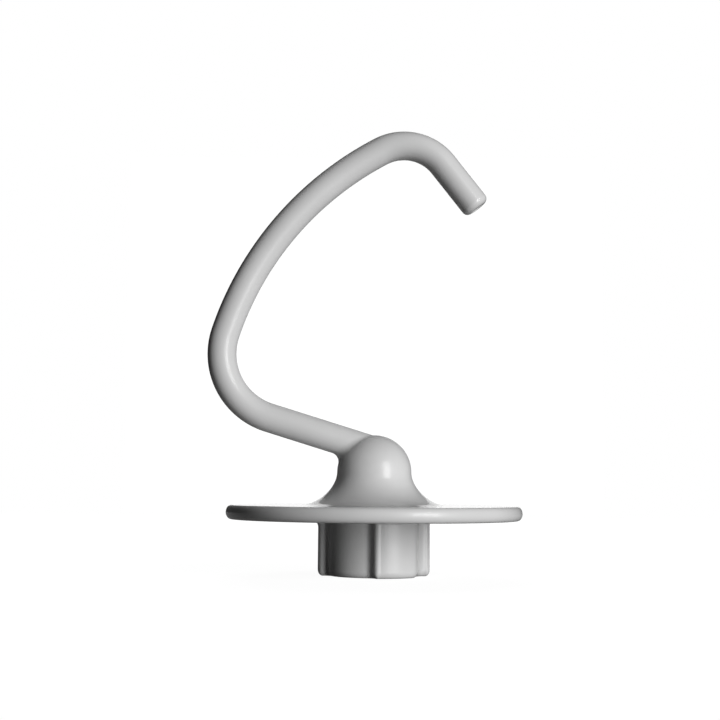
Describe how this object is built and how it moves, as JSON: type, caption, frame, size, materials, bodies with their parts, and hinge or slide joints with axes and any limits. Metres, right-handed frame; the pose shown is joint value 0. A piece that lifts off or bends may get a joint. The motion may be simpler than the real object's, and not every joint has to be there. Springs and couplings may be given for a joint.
{
  "type": "stand mixer dough hook",
  "caption": "C-shaped dough hook for a stand mixer: a round bar arm on a bell dome, a shield disc and a hub with a blind bayonet drive socket, cast in one piece and coated.",
  "frame": {"origin": "centre of the drive socket's mouth on the hub's end face, where the hook stands", "axes": "+Z along the socket's axis from its mouth into the part, the arm's plane is XZ, and the hook's mouth opens to +X"},
  "size_m": [0.1265, 0.118, 0.1798],
  "materials": {
    "coating": "satin-gloss light grey coating, smooth"
  },
  "bodies": {
    "root": {"dough_hook": "coating"}
  },
  "joints": []
}
